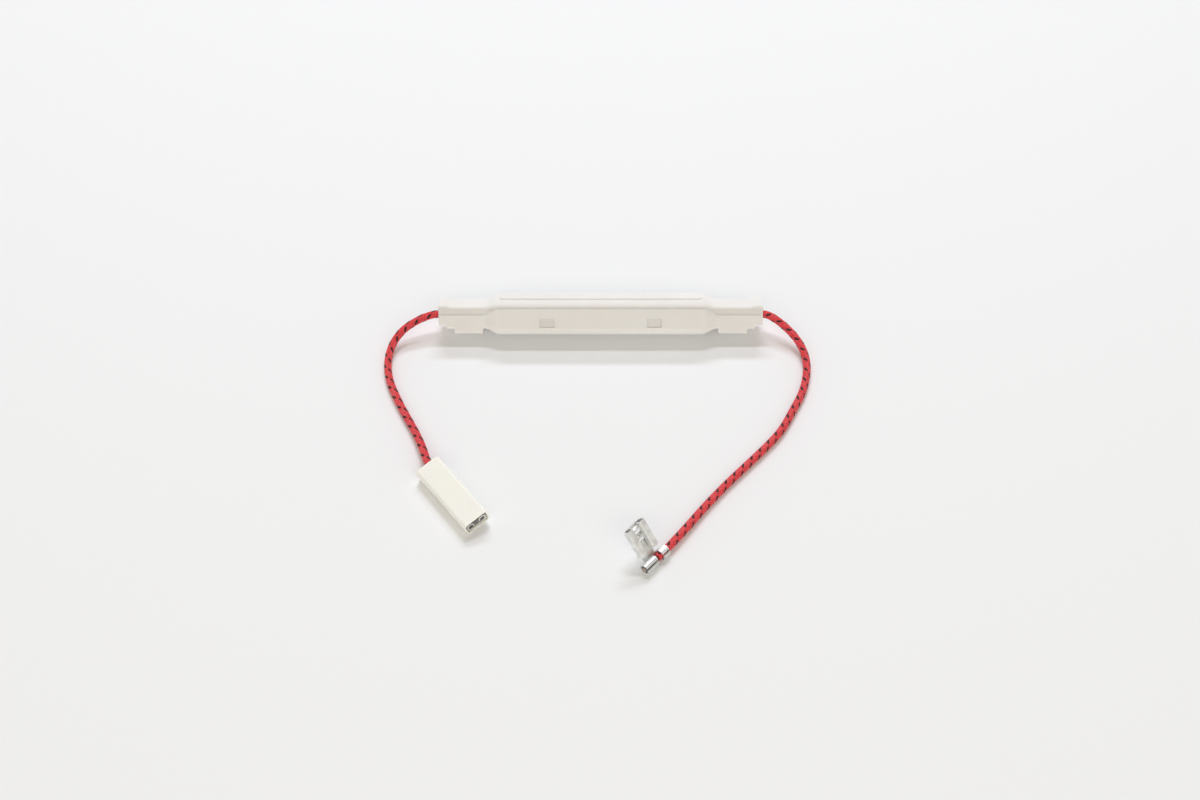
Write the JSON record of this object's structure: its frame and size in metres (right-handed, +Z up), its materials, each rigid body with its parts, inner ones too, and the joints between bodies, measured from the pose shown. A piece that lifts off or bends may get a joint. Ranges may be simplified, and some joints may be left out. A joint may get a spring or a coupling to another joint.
{
  "type": "microwave high voltage fuse",
  "caption": "High voltage fuse in a snap-together plastic case, with a braided lead at each end: one to a sleeved push-on terminal, the other to a bare flag terminal.",
  "frame": {"origin": "on the table, under the middle of the case", "axes": "+X along the case towards the end with the flag terminal's lead, +Z up; the leads reach forward along -Y"},
  "size_m": [0.1266, 0.0974, 0.0127],
  "materials": {
    "nylon": "natural moulded nylon, satin",
    "glass": "clear drawn glass",
    "nickel": "nickel plate",
    "solder": "dull solder",
    "spring_steel": "drawn wire",
    "copper": "tinned copper strands",
    "tin_plate": "bright tin plate over brass",
    "red_braid": "varnished glass braid with black tracers",
    "ivory_plastic": "moulded, semi-gloss"
  },
  "bodies": {
    "root": {"case_base": "nylon", "case_lid": "nylon", "fuse_tube": "glass", "left_end_cap": "nickel", "right_end_cap": "nickel", "left_solder_drop": "solder", "right_solder_drop": "solder", "solder_joint": "solder", "tension_spring": "spring_steel", "fuse_wire": "copper", "left_fuse_clip": "tin_plate", "right_fuse_clip": "tin_plate", "left_inner_core": "copper", "right_inner_core": "copper", "left_lead": "red_braid", "right_lead": "red_braid", "left_outer_core": "copper", "right_outer_core": "copper", "spade_terminal": "tin_plate", "terminal_sleeve": "ivory_plastic", "flag_terminal": "tin_plate"}
  },
  "joints": []
}
